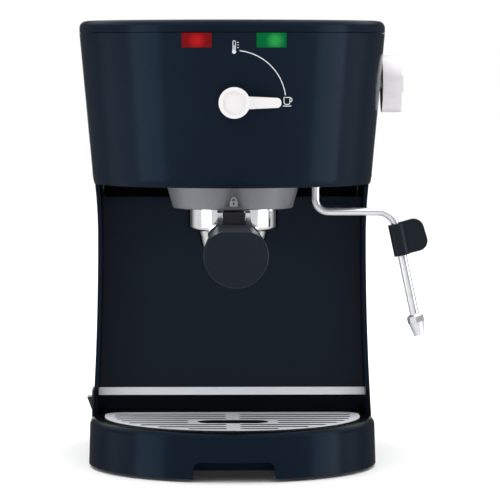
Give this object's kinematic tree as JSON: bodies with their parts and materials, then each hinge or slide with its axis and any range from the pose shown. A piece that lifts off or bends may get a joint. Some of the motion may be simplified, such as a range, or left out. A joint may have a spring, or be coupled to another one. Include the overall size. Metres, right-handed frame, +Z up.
{
  "type": "espresso machine",
  "caption": "Compact pump espresso machine with a D-shaped drip tray, overhanging round head, lever selector, portafilter with twin spout, swivelling steam wand and rear tank.",
  "frame": {"origin": "on the counter, straight under the brew axis, on the plane of symmetry", "axes": "+X to the right seen from the front, +Y to the back, +Z up; the handle points along -Y"},
  "size_m": [0.2206, 0.341, 0.285],
  "materials": {
    "navy_shell": "satin dark navy moulding",
    "navy_tray": "dark navy moulding",
    "splash_gloss": "high gloss",
    "black_plastic": "fine matt",
    "rocker_black": "gloss",
    "handle_navy": "satin",
    "white_gloss": "gloss",
    "knob_grey": "satin",
    "lens_red": "clear tinted lens",
    "lens_green": "clear tinted lens",
    "lamp_white": "clear",
    "board_green": "solder mask",
    "chrome": "mirror",
    "brushed_strip": "brushed",
    "grid_steel": "polished",
    "collar_steel": "brushed",
    "stainless": "plain",
    "cast_alloy": "as cast",
    "brass": "turned",
    "hose_white": "translucent hose",
    "black_rubber": "matt",
    "coil_red": "potted coil",
    "thermostat_black": "bakelite",
    "tank_smoke": "smoked clear"
  },
  "bodies": {
    "machine": {"base_plate": "black_plastic", "rubber_feet": "black_rubber", "column_shell": "navy_shell", "base_deck": "black_plastic", "cap_screws": "stainless", "splash_panel": "splash_gloss", "trim_strip": "brushed_strip", "bulkhead": "black_plastic", "head_shell": "navy_shell", "head_underside": "black_plastic", "top_cover": "navy_shell", "lens_red": "lens_red", "lens_green": "lens_green", "lamp_board": "board_green", "lamps": "lamp_white", "selector_switch": "black_plastic", "brew_collar": "collar_steel", "group_head": "cast_alloy", "group_gasket": "black_rubber", "shower_screen": "stainless", "screen_screw": "stainless", "boiler": "cast_alloy", "boiler_lid": "cast_alloy", "thermostats": "thermostat_black", "steam_valve": "brass", "wand_seat": "brass", "steam_hose": "hose_white", "pressure_hose": "hose_white", "suction_hose": "hose_white", "pump_barrel": "black_plastic", "pump_coil": "coil_red", "pump_bracket": "stainless", "pump_mounts": "black_rubber", "tank_receptacle": "black_plastic", "receptacle_seal": "black_rubber", "rocker_housing": "black_plastic", "cord_gland": "black_rubber"},
    "selector": {"selector_knob": "white_gloss"},
    "steam_control": {"steam_knob": "knob_grey", "valve_spindle": "brass"},
    "needle": {"valve_needle": "stainless"},
    "wand": {"wand_pipe": "chrome", "wand_clip": "chrome", "wand_grip": "handle_navy", "wand_sleeve": "chrome", "wand_nozzle": "chrome"},
    "portafilter": {"portafilter_bowl": "chrome", "filter_basket": "stainless", "spout": "black_plastic", "handle": "handle_navy", "handle_cap": "handle_navy", "tab_pin": "chrome"},
    "tab": {"basket_tab": "black_plastic"},
    "tray": {"drip_tray": "navy_tray"},
    "grid": {"drip_grid": "grid_steel"},
    "tank": {"water_tank": "tank_smoke", "tank_valve": "white_gloss"},
    "lid": {"tank_lid": "navy_shell"},
    "rocker": {"rocker": "rocker_black"},
    "piston": {"pump_piston": "stainless"}
  },
  "joints": [
    {"name": "selector_turn", "type": "hinge", "parent": "machine", "child": "selector", "pos_m": [0, -0.066, 0.2343], "axis": [0, -1, 0], "range_deg": [0, 90]},
    {"name": "steam_turn", "type": "hinge", "parent": "machine", "child": "steam_control", "pos_m": [0.1, 0.06, 0.2447], "axis": [1, 0, 0], "range_deg": [0, 270]},
    {"name": "needle_slide", "type": "slide", "parent": "machine", "child": "needle", "axis": [1, 0, 0], "range_m": [0, 0.0015]},
    {"name": "wand_swing", "type": "hinge", "parent": "machine", "child": "wand", "pos_m": [0.0522, 0, 0.1816], "axis": [0, 0, 1], "range_deg": [-70, 40]},
    {"name": "portafilter_turn", "type": "hinge", "parent": "machine", "child": "portafilter", "pos_m": [0, 0, 0.1816], "axis": [0, 0, -1], "range_deg": [0, 50]},
    {"name": "tab_flip", "type": "hinge", "parent": "portafilter", "child": "tab", "pos_m": [0, -0.046, 0.1628], "axis": [-1, 0, 0], "range_deg": [0, 70]},
    {"name": "tray_slide", "type": "slide", "parent": "machine", "child": "tray", "axis": [0, -1, 0], "range_m": [0, 0.11]},
    {"name": "grid_lift", "type": "slide", "parent": "tray", "child": "grid", "axis": [0, 0, 1], "range_m": [0, 0.05]},
    {"name": "tank_lift", "type": "slide", "parent": "machine", "child": "tank", "axis": [0, 0, 1], "range_m": [0, 0.15]},
    {"name": "lid_open", "type": "hinge", "parent": "tank", "child": "lid", "pos_m": [0, 0.1821, 0.2803], "axis": [-1, 0, 0], "range_deg": [0, 90]},
    {"name": "rocker_tilt", "type": "hinge", "parent": "machine", "child": "rocker", "pos_m": [-0.088, 0.11, 0.028], "axis": [0, 1, 0], "range_deg": [0, 18]},
    {"name": "piston_stroke", "type": "slide", "parent": "machine", "child": "piston", "axis": [0, 0, 1], "range_m": [-0.0015, 0.0015], "stiffness_N_per_m": 3000}
  ],
  "couplings": [
    {"joint": "needle_slide", "follows": "steam_turn", "m_per_rad": 0.000318}
  ]
}
